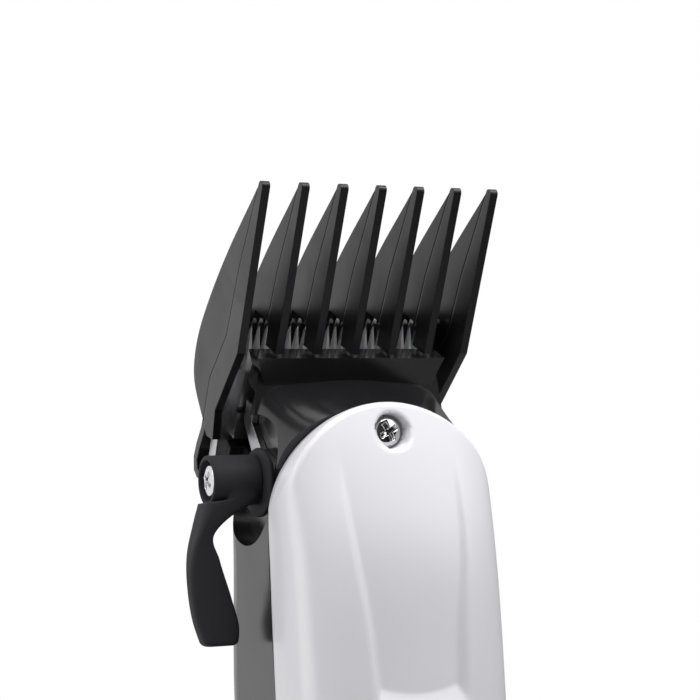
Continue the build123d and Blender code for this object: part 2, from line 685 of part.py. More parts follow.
# Return springs either side of the arm tail
spring_gap = 0.4
with BuildPart() as left_spring:
    with BuildLine() as left_coil:
        Helix(pitch=2.0, height=spring_seat - arm_half - spring_gap - 2 * wire_radius - 0.1, radius=spring_radius,
              center=(-spring_seat + wire_radius + 0.05, 0, spring_z), direction=(1, 0, 0))
    with BuildSketch(Plane(origin=left_coil.line @ 0, z_dir=left_coil.line % 0)):
        Circle(wire_radius)
    sweep(is_frenet=True)
left_spring.part.label = "left_return_spring"

with BuildPart() as right_spring:
    with BuildLine() as right_coil:
        Helix(pitch=2.0, height=spring_seat - arm_half - spring_gap - 2 * wire_radius - 0.1, radius=spring_radius,
              center=(arm_half + spring_gap + wire_radius, 0, spring_z), direction=(1, 0, 0))
    with BuildSketch(Plane(origin=right_coil.line @ 0, z_dir=right_coil.line % 0)):
        Circle(wire_radius)
    sweep(is_frenet=True)
right_spring.part.label = "right_return_spring"

# Power screw: slotted head outside, tip behind the right spring
with BuildPart() as power_screw:
    with BuildSketch(Plane.YZ.offset(spring_seat)):
        with Locations((0, spring_z)):
            Circle(2.0)
    extrude(amount=power_floor + 0.1 - spring_seat)
    with BuildSketch(Plane.YZ.offset(spring_seat)):
        with Locations((0, spring_z)):
            Circle(3.4)
    extrude(amount=1.2)
    with BuildSketch(Plane.YZ.offset(power_floor + 0.1)):
        with Locations((0, spring_z)):
            Circle(3.2)
    extrude(amount=1.6)
    with BuildSketch(Plane.YZ.offset(power_floor + 0.9)):
        with Locations((0, spring_z)):
            Rectangle(0.9, 7)
    extrude(amount=2, mode=Mode.SUBTRACT)
power_screw.part.label = "power_screw"

# Slide switch
button_z = switch_z - switch_travel / 2
with BuildPart() as switch_body:
    with BuildSketch(Plane.YZ.offset(-18.7)):
        with Locations((switch_y, switch_z)):
            Rectangle(7.6, 18)
    extrude(amount=7.5)
    with BuildSketch(Plane.YZ.offset(-18.7)):
        with Locations((switch_y, switch_z)):
            Rectangle(3.0, 4.6 + switch_travel)
    extrude(amount=2.6, mode=Mode.SUBTRACT)
switch_body.part.label = "switch_body"

with BuildPart() as button:
    with BuildSketch(Plane.YZ.offset(switch_floor - 0.1)):
        with Locations((switch_y, button_z)):
            RectangleRounded(7.8, 12, 1.2)
    extrude(amount=-1.8)
    with BuildSketch(Plane.YZ.offset(switch_floor - 1.9)):
        with Locations((switch_y, button_z)):
            with GridLocations(1, 2.0, 1, 5):
                Rectangle(6.0, 0.9)
    extrude(amount=-0.5)
    with BuildSketch(Plane.YZ.offset(switch_floor - 0.1)):
        with Locations((switch_y, button_z)):
            Rectangle(2.4, 4)
    extrude(amount=4.5)
button.part.label = "switch_button"

# Inlet for a lead: cup behind the end wall and two pins
with BuildPart() as inlet:
    with BuildSketch(Plane.XY.offset(end_wall)):
        with Locations((0, inlet_y)):
            RectangleRounded(2 * inlet_half_x + 3.2, 2 * inlet_half_y + 2.4, 2)
    extrude(amount=inlet_depth)
    with BuildSketch(Plane.XY.offset(end_wall)):
        with Locations((0, inlet_y)):
            SlotOverall(2 * inlet_half_x, 2 * inlet_half_y)
    extrude(amount=inlet_depth - 2.2, mode=Mode.SUBTRACT)
    with BuildSketch(Plane.XY.offset(end_wall)):
        with Locations((-3.4, inlet_y), (3.4, inlet_y)):
            Circle(1.12)
    extrude(amount=inlet_depth, mode=Mode.SUBTRACT)
inlet.part.label = "inlet_socket"

with BuildPart() as pins:
    with BuildSketch(Plane.XY.offset(end_wall + 1.5)):
        with Locations((-3.4, inlet_y), (3.4, inlet_y)):
            Circle(1.1)
    extrude(amount=inlet_depth + 2)
    fillet(pins.edges().filter_by(GeomType.CIRCLE).group_by(Axis.Z)[0], 0.6)
pins.part.label = "inlet_pins"

# Cover screws: one under the arch, two at the foot
with BuildPart() as cover_screws:
    with BuildSketch(Plane.XZ.offset(-cover_screw_seat)):
        with Locations((0, cover_screw_z)):
            Circle(screw_head)
    extrude(amount=1.5)
    with BuildSketch(Plane.XZ.offset(-cover_screw_seat)):
        with Locations((0, cover_screw_z)):
            Circle(screw_shank)
    extrude(amount=-4.3)
    with BuildSketch(Plane.XZ.offset(-parting_y + 2.2)):
        with Locations((-low_screw_x, low_screw_z), (low_screw_x, low_screw_z)):
            Circle(screw_head)
    extrude(amount=1.5)
    with BuildSketch(Plane.XZ.offset(-parting_y + 2.2)):
        with Locations((-low_screw_x, low_screw_z), (low_screw_x, low_screw_z)):
            Circle(screw_shank)
    extrude(amount=-10)
    fillet(cover_screws.edges().filter_by(GeomType.CIRCLE).filter_by(lambda e: abs(e.radius - screw_head) < 0.01)
           .filter_by(lambda e: abs(e.center().Y - (cover_screw_seat - 1.5)) < 0.05 or abs(e.center().Y - (parting_y - 3.7)) < 0.05), 0.6)
    with BuildSketch(Plane.XZ.offset(-cover_screw_seat + 1.5)):
        with Locations((0, cover_screw_z)):
            Rectangle(0.8, 3.2)
            Rectangle(3.2, 0.8)
    extrude(amount=-0.8, mode=Mode.SUBTRACT)
    with BuildSketch(Plane.XZ.offset(-parting_y + 3.7)):
        with Locations((-low_screw_x, low_screw_z), (low_screw_x, low_screw_z)):
            Rectangle(0.8, 3.2)
            Rectangle(3.2, 0.8)
    extrude(amount=-0.8, mode=Mode.SUBTRACT)
cover_screws.part.label = "cover_screws"


# Comb: fins with a raised back zone, heel plate and thumb tongue
def fin_zones(half, front_half, x):
    with BuildPart() as fin:
        with BuildSketch(side_plane.offset(x - front_half)):
            with BuildLine():
                ThreePointArc((0.3, 34.4), (-0.7, 35.2), (-1.6, 34.2))
                Polyline((-1.6, 34.2), (0.0, 1.0), (7.7, -13.6), (7.0, -19.5), (10.4, -20.1), (12.0, -19.1),
                         (13.4, -17.0), (12.7, -8.7), (6.7, 2.4), (4.8, 16.2), (0.3, 34.4))
            make_face()
        extrude(amount=2 * front_half)
        with BuildSketch(side_plane.offset(x - half)):
            with BuildLine():
                Spline((0.3, 34.4), (10.0, 20.4), (19.6, 3.5), (22.5, -5.4), (21.6, -11.7), (17.7, -15.4), (12.0, -19.1))
                Polyline((12.0, -19.1), (13.4, -17.0), (12.7, -8.7), (6.7, 2.4), (4.8, 16.2), (0.3, 34.4))
            make_face()
        extrude(amount=2 * half)
    return fin.part


with BuildPart() as comb:
    for k in range(-2, 3):
        add(fin_zones(fin_half, fin_front_half, k * fin_pitch))
    with BuildSketch(side_plane):
        Polygon((comb_slot_front, comb_slot_top), (comb_slot_back, comb_slot_top), (comb_slot_back, -40), (-5, -40),
                (-5, comb_finger_foot), (comb_slot_front, comb_finger_foot), align=None)
    extrude(amount=20, both=True, mode=Mode.SUBTRACT)
    for k in (-3, 3):
        add(fin_zones(fin_half, fin_front_half, k * fin_pitch))
    with BuildSketch(side_plane):
        with BuildLine():
            Spline((19.6, 3.5), (22.3, -5.4), (21.4, -11.6), (17.6, -15.2), (15.6, -17.2))
            Polyline((15.6, -17.2), (15.9, -20.5), (17.4, -24.5), (18.0, -27.6), (17.0, -30.2), (14.8, -31.0), (13.6, -30.6),
                     (13.8, -29.5), (15.2, -29.2), (16.1, -27.6), (15.5, -25.0), (14.0, -20.8), (comb_slot_back, -16.2))
            Spline((comb_slot_back, -16.2), (16.4, -14.2), (19.8, -10.8), (20.6, -5.6), (18.0, 3.0))
            Line((18.0, 3.0), (19.6, 3.5))
        make_face()
    extrude(amount=3 * fin_pitch, both=True)
comb.part.label = "guide_comb"

os.makedirs("parts", exist_ok=True)
export_step(housing.part, "parts/lower_housing.step")
export_step(cover.part, "parts/top_cover.step")
export_step(cover_screws.part, "parts/cover_screws.step")
export_step(fixed_blade.part, "parts/fixed_blade.step")
export_step(cutter.part, "parts/moving_blade.step")
export_step(blade_screws.part, "parts/blade_screws.step")
export_step(guide.part, "parts/cutter_guide.step")
export_step(leaf.part, "parts/cutter_spring.step")
export_step(follower.part, "parts/cam_follower.step")
export_step(lever.part, "parts/taper_lever.step")
export_step(lever_washer.part, "parts/lever_washer.step")
export_step(lever_screw.part, "parts/lever_screw.step")
export_step(lever_shaft.part, "parts/lever_shaft.step")
export_step(shaft_clip.part, "parts/shaft_clip.step")
export_step(arm.part, "parts/armature_arm.step")
export_step(bush.part, "parts/armature_bush.step")
export_step(finger.part, "parts/drive_finger.step")
export_step(pivot.part, "parts/pivot_pin.step")
export_step(pivot_clip.part, "parts/pivot_clip.step")
export_step(core.part, "parts/stator_core.step")
export_step(bobbin.part, "parts/coil_bobbin.step")
export_step(winding.part, "parts/coil_winding.step")
export_step(core_screws.part, "parts/core_screws.step")
export_step(left_spring.part, "parts/left_return_spring.step")
export_step(right_spring.part, "parts/right_return_spring.step")
export_step(power_screw.part, "parts/power_screw.step")
export_step(switch_body.part, "parts/switch_body.step")
export_step(button.part, "parts/switch_button.step")
export_step(inlet.part, "parts/inlet_socket.step")
export_step(pins.part, "parts/inlet_pins.step")
export_step(comb.part, "parts/guide_comb.step")
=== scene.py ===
import json
import math

import bmesh
import bpy
import numpy as np
from mathutils import Matrix, Vector


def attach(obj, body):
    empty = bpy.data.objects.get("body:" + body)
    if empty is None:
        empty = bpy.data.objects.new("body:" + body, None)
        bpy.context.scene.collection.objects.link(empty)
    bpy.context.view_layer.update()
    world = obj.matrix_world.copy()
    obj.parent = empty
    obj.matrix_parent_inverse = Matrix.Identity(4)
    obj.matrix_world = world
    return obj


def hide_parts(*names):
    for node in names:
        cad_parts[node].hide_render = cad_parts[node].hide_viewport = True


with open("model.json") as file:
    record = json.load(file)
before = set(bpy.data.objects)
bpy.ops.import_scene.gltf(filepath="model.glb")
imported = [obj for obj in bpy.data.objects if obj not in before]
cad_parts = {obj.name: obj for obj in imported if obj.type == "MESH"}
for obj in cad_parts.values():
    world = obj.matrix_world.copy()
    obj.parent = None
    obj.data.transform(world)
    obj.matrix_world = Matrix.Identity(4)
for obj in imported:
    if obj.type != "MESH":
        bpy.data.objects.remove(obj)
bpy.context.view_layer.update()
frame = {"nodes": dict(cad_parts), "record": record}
nodes = frame["nodes"]
scene = bpy.context.scene
scene.view_settings.view_transform = "Standard"
print("frame loaded:", len(nodes), "nodes")

mm = 0.001  # the pieces are given in millimetres; camera, lamps and floor are in metres

# the blades lean over the cover: one way runs along them to the tooth tips, the other back through them
bladeTilt = math.radians(26.5)
bladeAlong = (0, -math.sin(bladeTilt), math.cos(bladeTilt))
bladeThrough = (0, math.cos(bladeTilt), math.sin(bladeTilt))
bladeOrigin = (0, 2, 148)

# the camera stands left of the clipper and a little below its blades, looking up
shot = {
    "place": (-0.16064, -0.35224, 0.10930),
    "ahead": (0.4090, 0.90663, 0.10330),
    "up": (0.0, -0.11320, 0.99357),
    "fovDeg": 19.844,
    "clip": (0.01, 50.0),
}


def placeCamera():
    lens = bpy.data.cameras.new("photoCamera")
    lens.sensor_fit = "HORIZONTAL"
    lens.angle = math.radians(shot["fovDeg"])
    lens.clip_start, lens.clip_end = shot["clip"]
    camera = bpy.data.objects.new("photoCamera", lens)
    ahead = Vector(shot["ahead"]).normalized()
    right = ahead.cross(Vector(shot["up"])).normalized()
    up = right.cross(ahead)
    x, y, z = shot["place"]
    camera.matrix_world = Matrix((
        (right.x, up.x, -ahead.x, x),
        (right.y, up.y, -ahead.y, y),
        (right.z, up.z, -ahead.z, z),
        (0, 0, 0, 1)))
    scene.collection.objects.link(camera)
    scene.camera = camera


# node helpers

def feed(tree, node, sockets):
    # each socket gets a constant, or a link where the value is another node's output
    for label, value in sockets.items():
        if isinstance(value, bpy.types.NodeSocket):
            tree.links.new(value, node.inputs[label])
        else:
            node.inputs[label].default_value = value


def addNode(tree, kind, sockets=None, **settings):
    node = tree.nodes.new(kind)
    for label, value in settings.items():
        setattr(node, label, value)
    feed(tree, node, sockets or {})
    return node


def addMath(tree, operation, *values):
    return addNode(tree, "ShaderNodeMath", dict(enumerate(values)), operation=operation).outputs[0]


def addRamp(tree, value, fromMin, fromMax, toMin=0.0, toMax=1.0):
    # a straight rise or fall between two values, level before and after them
    span = {"From Min": fromMin, "From Max": fromMax, "To Min": toMin, "To Max": toMax}
    return addNode(tree, "ShaderNodeMapRange", {"Value": value, **span}).outputs["Result"]


# white paper behind and to the left of the clipper and a dim room in front of it, with soft lamps above,
# left and front right and a narrow strip that the nose reflects;
# a ramp has two values of a direction's X, Y or Z, then the strength at each, or else zero and one
studio = {
    "room": (-0.5, 0.8, 0.05, 0.38),  # light on dull surfaces, brighter upwards
    "behind": (-0.25, 0.45, 0.05, 1.0),  # paper in reflections, brighter towards the back
    "aside": (-0.10, 0.35, 1.0, 0.25),  # and dimmer towards the right
    "overhead": (0.25, 0.60),  # but not above
    "lamps": (  # name, place, aim, size, watts
        ("topSoft", (0.07, -0.12, 0.34), (0.0, -0.01, 0.13), (0.24, 0.12), 0.72),
        ("leftSoft", (-0.75, 0.08, 0.30), (0.0, 0.0, 0.12), (0.45, 0.8), 3.5),
        ("rightSoft", (0.50, -0.55, 0.42), (0.0, 0.0, 0.12), (0.35, 0.45), 1.0),
        ("noseStrip", (-0.15, -0.10, 0.46), (0.0, 0.0, 0.135), (0.03, 0.25), 0.35),
    ),
}


def lightStudio():
    world = bpy.data.worlds.new("studio")
    scene.world = world
    world.use_nodes = True
    tree = world.node_tree
    tree.nodes.clear()
    path = addNode(tree, "ShaderNodeLightPath").outputs
    coord = addNode(tree, "ShaderNodeTexCoord")
    way = addNode(tree, "ShaderNodeSeparateXYZ", {0: coord.outputs["Generated"]}).outputs
    behind = addRamp(tree, way["Y"], *studio["behind"])
    aside = addRamp(tree, way["X"], *studio["aside"])
    overhead = addRamp(tree, way["Z"], *studio["overhead"])
    level = addMath(tree, "MULTIPLY", behind, addMath(tree, "MAXIMUM", aside, overhead))
    sheet = addMath(tree, "MAXIMUM", level, path["Is Camera Ray"])
    dim = addRamp(tree, way["Z"], *studio["room"])
    paper = addNode(tree, "ShaderNodeBackground", {"Color": (1, 1, 1, 1), "Strength": sheet})
    room = addNode(tree, "ShaderNodeBackground", {"Strength": dim})
    seen = addMath(tree, "MAXIMUM", path["Is Camera Ray"], path["Is Glossy Ray"])
    seen = addMath(tree, "MAXIMUM", seen, path["Is Transmission Ray"])
    mix = addNode(tree, "ShaderNodeMixShader", {"Fac": seen, 1: room.outputs[0], 2: paper.outputs[0]})
    addNode(tree, "ShaderNodeOutputWorld", {"Surface": mix.outputs[0]})
    for name, place, aim, size, watts in studio["lamps"]:
        data = bpy.data.lights.new(name, "AREA")
        data.shape = "RECTANGLE"
        data.size, data.size_y = size
        data.energy = watts
        lamp = bpy.data.objects.new(name, data)
        lamp.location = place
        lamp.rotation_euler = (Vector(aim) - Vector(place)).to_track_quat("-Z", "Y").to_euler()
        scene.collection.objects.link(lamp)


placeCamera()
lightStudio()
print("camera and light set")


# shared shader groups

def newGroup(name, ins, outs):
    tree = bpy.data.node_groups.new(name, "ShaderNodeTree")
    for label, value in ins.items():
        socket = tree.interface.new_socket(label, in_out="INPUT", socket_type="NodeSocketFloat")
        socket.default_value = value
    for label in outs:
        tree.interface.new_socket(label, in_out="OUTPUT", socket_type="NodeSocketFloat")
    return tree, tree.nodes.new("NodeGroupInput").outputs, tree.nodes.new("NodeGroupOutput")


def objectPlace(tree):
    return addNode(tree, "ShaderNodeTexCoord").outputs["Object"]


def distanceAlong(tree, way):
    # how far the point lies along a direction, in metres
    sockets = {0: objectPlace(tree), 1: way}
    return addNode(tree, "ShaderNodeVectorMath", sockets, operation="DOT_PRODUCT").outputs["Value"]


def mouldGrainGroup():
    # fine moulded skin: a tight noise for the bump and a broad one for the shade
    tree, ins, out = newGroup("mouldGrain", {"grain": 4000.0, "cloud": 60.0}, ("height", "shade"))
    place = objectPlace(tree)
    fine = addNode(tree, "ShaderNodeTexNoise", {"Vector": place, "Scale": ins["grain"], "Detail": 2.0})
    broad = addNode(tree, "ShaderNodeTexNoise", {"Vector": place, "Scale": ins["cloud"], "Detail": 4.0})
    feed(tree, out, {"height": fine.outputs["Fac"], "shade": broad.outputs["Fac"]})
    return tree


def brushedGroup():
    # ground steel: noise drawn out along X, so the lines run across the blade
    tree, ins, out = newGroup("groundLines", {"across": 9000.0, "along": 160.0}, ("height", "shade"))
    scales = {"X": ins["along"], "Y": ins["across"], "Z": ins["across"]}
    stretch = addNode(tree, "ShaderNodeCombineXYZ", scales)
    drawn = addNode(tree, "ShaderNodeVectorMath", {0: objectPlace(tree), 1: stretch.outputs[0]},
                    operation="MULTIPLY")
    lines = addNode(tree, "ShaderNodeTexNoise", {"Vector": drawn.outputs[0], "Scale": 1.0, "Detail": 3.0})
    feed(tree, out, {"height": lines.outputs["Fac"], "shade": lines.outputs["Fac"]})
    return tree


def handlingGroup():
    # smears left by fingers: warped noise, whose middle range is spread between a low and a high roughness
    tree, ins, out = newGroup("handling", {"low": 0.1, "high": 0.2, "scale": 90.0}, ("rough",))
    noiseLow, noiseHigh = 0.35, 0.7
    smear = addNode(tree, "ShaderNodeTexNoise", {"Vector": objectPlace(tree), "Scale": ins["scale"],
                                                 "Detail": 5.0, "Distortion": 0.6})
    rough = addRamp(tree, smear.outputs["Fac"], noiseLow, noiseHigh, ins["low"], ins["high"])
    feed(tree, out, {"rough": rough})
    return tree


# bands of painted light and painted shade on the blades, in metres along them and through them from the
# frame's origin
paintedToothLight = {"from": 0.1263, "to": 0.1270}
paintedShadeBand = {"from": 0.1255, "to": 0.1262, "tipFrom": 0.1353, "tipTo": 0.1358,
           "face": 0.0778, "faceEnd": 0.0780}


def paintedToothLightGroup():
    # ground teeth with a painted highlight, painted near-white for the light that falls on them: a mask that
    # rises along the blade, from the teeth's root on
    tree, ins, out = newGroup("paintedToothLight", paintedToothLight, ("mask",))
    feed(tree, out, {"mask": addRamp(tree, distanceAlong(tree, bladeAlong), ins["from"], ins["to"])})
    return tree


def paintedShadeBandGroup():
    # painted shade where the cutter shadows the fixed blade: between two heights along the blade,
    # and only on the face towards the cutter
    tree, ins, out = newGroup("paintedShadeBand", paintedShadeBand, ("mask",))
    along, back = distanceAlong(tree, bladeAlong), distanceAlong(tree, bladeThrough)
    above = addRamp(tree, along, ins["from"], ins["to"])
    below = addRamp(tree, along, ins["tipFrom"], ins["tipTo"], 1.0, 0.0)
    facing = addRamp(tree, back, ins["face"], ins["faceEnd"], 1.0, 0.0)
    band = addMath(tree, "MULTIPLY", above, below)
    feed(tree, out, {"mask": addMath(tree, "MULTIPLY", band, facing)})
    return tree


# fold where a fin's thicker front zone ends: height along the fin, then depth behind its front,
# both counted from the blades' origin
foldForm = {"height": (-17.0, -8.7, 2.4, 16.2, 34.4), "depth": (13.4, 12.7, 6.7, 4.8, 0.3), "half": 0.42}


def finFoldGroup():
    # thin line on the comb's fins: one minus the distance in depth from the fold's own curve
    # over its half width
    f = foldForm
    tree, ins, out = newGroup("finFold", {"half": f["half"] * mm}, ("mask",))
    low, high, far = f["height"][0], f["height"][-1], f["depth"][0]
    originAlong, originBack = np.dot(bladeOrigin, bladeAlong), np.dot(bladeOrigin, bladeThrough)
    along, back = distanceAlong(tree, bladeAlong), distanceAlong(tree, bladeThrough)
    share = addRamp(tree, along, (originAlong + low) * mm, (originAlong + high) * mm)
    curve = addNode(tree, "ShaderNodeFloatCurve", {"Value": share})
    points = curve.mapping.curves[0].points
    while len(points) < len(f["height"]):
        points.new(0.5, 0.5)  # moved to its own place below
    for point, height, depth in zip(points, f["height"], f["depth"]):
        point.location = ((height - low) / (high - low), depth / far)
        point.handle_type = "VECTOR"
    curve.mapping.update()
    fold = addMath(tree, "MULTIPLY_ADD", curve.outputs["Value"], far * mm, originBack * mm)
    away = addMath(tree, "ABSOLUTE", addMath(tree, "SUBTRACT", back, fold))
    feed(tree, out, {"mask": addRamp(tree, away, 0.0, ins["half"], 1.0, 0.0)})
    return tree


foldTree = finFoldGroup()
paintedToothLightTree = paintedToothLightGroup()
paintedShadeTree = paintedShadeBandGroup()
grainTree = mouldGrainGroup()
linesTree = brushedGroup()
handlingTree = handlingGroup()

bumpDepth = 0.05  # of every skin, in millimetres
plainSpecular = 0.5


def mixColour(tree, factor, a, b):
    sockets = {"Factor": factor, "A": a, "B": b}
    return addNode(tree, "ShaderNodeMix", sockets, data_type="RGBA").outputs["Result"]


def finishMaterial(name, look):
    # one finish: two tones mixed by the skin's shade, smeared roughness, fine bump over rounded edges;
    # a metal has ground lines for its skin, anything else has moulded grain
    mat = bpy.data.materials.new(name)
    mat.use_nodes = True
    tree = mat.node_tree
    skinTree = linesTree if "metal" in look else grainTree
    skin = addNode(tree, "ShaderNodeGroup", look["skin"], node_tree=skinTree).outputs
    low, high = look["rough"]
    touch = addNode(tree, "ShaderNodeGroup", {"low": low, "high": high}, node_tree=handlingTree)
    rough = touch.outputs["rough"]
    colour = mixColour(tree, skin["shade"], (*look["dark"], 1), (*look["light"], 1))
    metal = look.get("metal", 0.0)
    if "teeth" in look:  # painted light or shade on part of a blade: a band of painted shade, or teeth painted near-white as a highlight
        bandTree = paintedShadeTree if look.get("paintedShade") else paintedToothLightTree
        mask = addNode(tree, "ShaderNodeGroup", node_tree=bandTree).outputs["mask"]
        colour = mixColour(tree, mask, colour, (*look["teeth"], 1))
        if "toothMetal" in look:
            metal = addRamp(tree, mask, 0.0, 1.0, metal, look["toothMetal"])
    under = {}  # what the fine bump lies over
    if "edge" in look:
        edge = addNode(tree, "ShaderNodeBevel", {"Radius": look["edge"] * mm}, samples=4)
        under = {"Normal": edge.outputs["Normal"]}
    if "fold" in look:  # a dull groove, pressed in before the fine bump
        fold = addNode(tree, "ShaderNodeGroup", node_tree=foldTree).outputs["mask"]
        press = {"Height": fold, "Strength": 1.0, "Distance": look["fold"] * mm, **under}
        groove = addNode(tree, "ShaderNodeBump", press, invert=True)
        under = {"Normal": groove.outputs["Normal"]}
        rough = addMath(tree, "MAXIMUM", fold, rough)
    bump = addNode(tree, "ShaderNodeBump", {"Height": skin["height"], "Strength": look["bump"],
                                            "Distance": bumpDepth * mm, **under})
    feed(tree, tree.nodes["Principled BSDF"], {
        "Base Color": colour, "Metallic": metal, "Roughness": rough, "Normal": bump.outputs["Normal"],
        "Specular IOR Level": look.get("specular", plainSpecular)})
    return mat


plasticSkin = {"grain": 5200.0, "cloud": 45.0}
bladeLook = {"dark": (0.46, 0.46, 0.47), "light": (0.60, 0.60, 0.61), "rough": (0.26, 0.36), "bump": 0.06,
             "skin": {"across": 9000.0, "along": 160.0}, "metal": 1.0}
looks = {
    "gloss_black": {"dark": (0.010, 0.010, 0.011), "light": (0.016, 0.016, 0.017), "rough": (0.17, 0.24),
                    "specular": 0.45, "bump": 0.03, "skin": plasticSkin},
    "gloss_white": {"dark": (0.725, 0.719, 0.752), "light": (0.74, 0.734, 0.767), "rough": (0.284, 0.294),
                    "bump": 0.03, "skin": plasticSkin, "edge": 0.4},
    "comb_grey": {"dark": (0.008, 0.0077, 0.0094), "light": (0.012, 0.0116, 0.0138), "rough": (0.30, 0.40),
                  "specular": 0.26, "bump": 0.12, "skin": plasticSkin, "edge": 0.25, "fold": 0.45},
    "lever_black": {"dark": (0.028, 0.0275, 0.0305), "light": (0.035, 0.0345, 0.0378),
                    "rough": (0.45, 0.55), "specular": 0.04, "bump": 0.16, "skin": plasticSkin, "edge": 0.4},
    "blade_steel": bladeLook,
    # painted shade: the fixed blade's tooth band is made near-black where the cutter shadows it
    "paintedShadeSteel": {**bladeLook, "teeth": (0.035, 0.034, 0.033), "paintedShade": True},
    # painted highlight: the ground teeth are painted near-white and almost non-metal for the light that
    # falls on them
    "cutterSteel": {**bladeLook, "rough": (0.28, 0.38), "bump": 0.05, "teeth": (0.96, 0.96, 0.965),
                    "toothMetal": 0.05},
    "plateSteel": {"dark": (0.28, 0.28, 0.29), "light": (0.46, 0.46, 0.47), "rough": (0.24, 0.36),
                   "bump": 0.08, "skin": {"across": 5200.0, "along": 300.0}, "metal": 1.0, "edge": 0.15},
    "oiledSteel": {"dark": (0.04, 0.04, 0.042), "light": (0.08, 0.08, 0.083), "rough": (0.24, 0.36),
                   "bump": 0.06, "skin": {"across": 6000.0, "along": 900.0}, "metal": 1.0, "edge": 0.15},
    "bright_steel": {"dark": (0.62, 0.62, 0.63), "light": (0.74, 0.74, 0.75), "rough": (0.08, 0.20),
                     "bump": 0.03, "skin": {"across": 5000.0, "along": 1500.0}, "metal": 1.0, "edge": 0.15},
    "spring_steel": {"dark": (0.36, 0.36, 0.38), "light": (0.50, 0.50, 0.51), "rough": (0.24, 0.36),
                     "bump": 0.06, "skin": {"across": 6000.0, "along": 900.0}, "metal": 1.0, "edge": 0.1},
    "core_steel": {"dark": (0.16, 0.16, 0.17), "light": (0.28, 0.28, 0.29), "rough": (0.4, 0.55),
                   "bump": 0.2, "skin": {"across": 2200.0, "along": 120.0}, "metal": 1.0},
    "copper_wire": {"dark": (0.40, 0.15, 0.07), "light": (0.62, 0.29, 0.14), "rough": (0.25, 0.4),
                    "bump": 0.3, "skin": {"across": 2600.0, "along": 60.0}, "metal": 1.0},
    "inner_plastic": {"dark": (0.52, 0.50, 0.43), "light": (0.62, 0.60, 0.53), "rough": (0.42, 0.55),
                      "bump": 0.12, "skin": plasticSkin},
    "pale_washer": {"dark": (0.58, 0.58, 0.57), "light": (0.68, 0.68, 0.67), "rough": (0.38, 0.5),
                    "bump": 0.1, "skin": plasticSkin},
    "pin_brass": {"dark": (0.55, 0.42, 0.18), "light": (0.74, 0.60, 0.30), "rough": (0.2, 0.34),
                  "bump": 0.05, "skin": {"across": 5000.0, "along": 900.0}, "metal": 1.0},
    "switch_grey": {"dark": (0.10, 0.10, 0.105), "light": (0.15, 0.15, 0.155), "rough": (0.42, 0.56),
                    "bump": 0.2, "skin": plasticSkin, "edge": 0.2},
}
finishes = {name: finishMaterial(name, look) for name, look in looks.items()}
ownFinish = {"fixed_blade": "paintedShadeSteel", "cam_follower": "plateSteel", "lever_shaft": "oiledSteel"}

for part in frame["record"]["subparts"]:
    mesh = nodes[part["node"]].data
    mesh.materials.clear()
    mesh.materials.append(finishes[ownFinish.get(part["node"], part["material_slot"])])
print("finishes laid on", len(nodes), "nodes")


# mesh helpers

mergeDistance = 1e-7  # metres


def gridFaces(rows, cols, closed=False):
    # quads of a grid whose points are stored row by row; closed joins the last column to the first
    last = cols if closed else cols - 1
    i, j = np.meshgrid(np.arange(rows - 1), np.arange(last), indexing="ij")
    k = (j + 1) % cols
    quads = np.stack((i * cols + j, i * cols + k, (i + 1) * cols + k, (i + 1) * cols + j), axis=-1)
    return quads.reshape(-1, 4)


def makePiece(name, grids, body, slotName, replaced=(), caps=(), finish=None, sheet=False, sharp=None):
    # grids: list of (points, closed); all are joined in one mesh, doubles at poles are merged,
    # and a closed form gets its faces turned outwards; edges that turn by more than sharp stay sharp
    points, faces, start = [], [], 0
    for pts, closed in grids:
        rows, cols = pts.shape[:2]
        points.append(pts.reshape(-1, 3))
        faces.extend((gridFaces(rows, cols, closed) + start).tolist())
        start += rows * cols
    faces.extend(caps)
    mesh = bpy.data.meshes.new(name)
    mesh.from_pydata((np.concatenate(points) * mm).tolist(), [], faces)
    work = bmesh.new()
    work.from_mesh(mesh)
    bmesh.ops.remove_doubles(work, verts=work.verts, dist=mergeDistance)
    bmesh.ops.dissolve_degenerate(work, edges=work.edges, dist=mergeDistance)
    if not sheet:
        bmesh.ops.recalc_face_normals(work, faces=work.faces)
    work.to_mesh(mesh)
    work.free()
    mesh.shade_smooth()
    if sharp:
        mesh.set_sharp_from_angle(angle=sharp)
    piece = bpy.data.objects.new(name, mesh)
    scene.collection.objects.link(piece)
    mesh.materials.append(finishes[finish or slotName])
    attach(piece, body)
    if replaced:
        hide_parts(*replaced)
    return piece


def gridPoints(x, y, z):
    # one grid of points from three arrays, each spread over the others' rows and columns
    return np.stack(np.broadcast_arrays(x, y, z), axis=-1)


def fullTurn(count):
    return np.linspace(0, 2 * np.pi, count, endpoint=False)


def smoothStep(x):
    x = np.clip(x, 0, 1)
    return x * x * (3 - 2 * x)


def through(xs, ys, x):
    # cubic through the points, with each slope taken from the two neighbours
    xs, ys = np.asarray(xs, float), np.asarray(ys, float)
    slope = np.gradient(ys, xs)
    k = np.clip(np.searchsorted(xs, x) - 1, 0, len(xs) - 2)
    h = xs[k + 1] - xs[k]
    u = (x - xs[k]) / h
    a = ys[k] * (1 + 2 * u) * (1 - u) ** 2 + slope[k] * h * u * (1 - u) ** 2
    return a + ys[k + 1] * u * u * (3 - 2 * u) + slope[k + 1] * h * u * u * (u - 1)


def soften(edge, distance):
    # drop of a rounded edge: zero at one radius from the edge, one radius at the edge itself
    d = np.clip(distance / edge, 0, 1)
    return edge * (1 - np.sqrt(1 - (1 - d) ** 2))


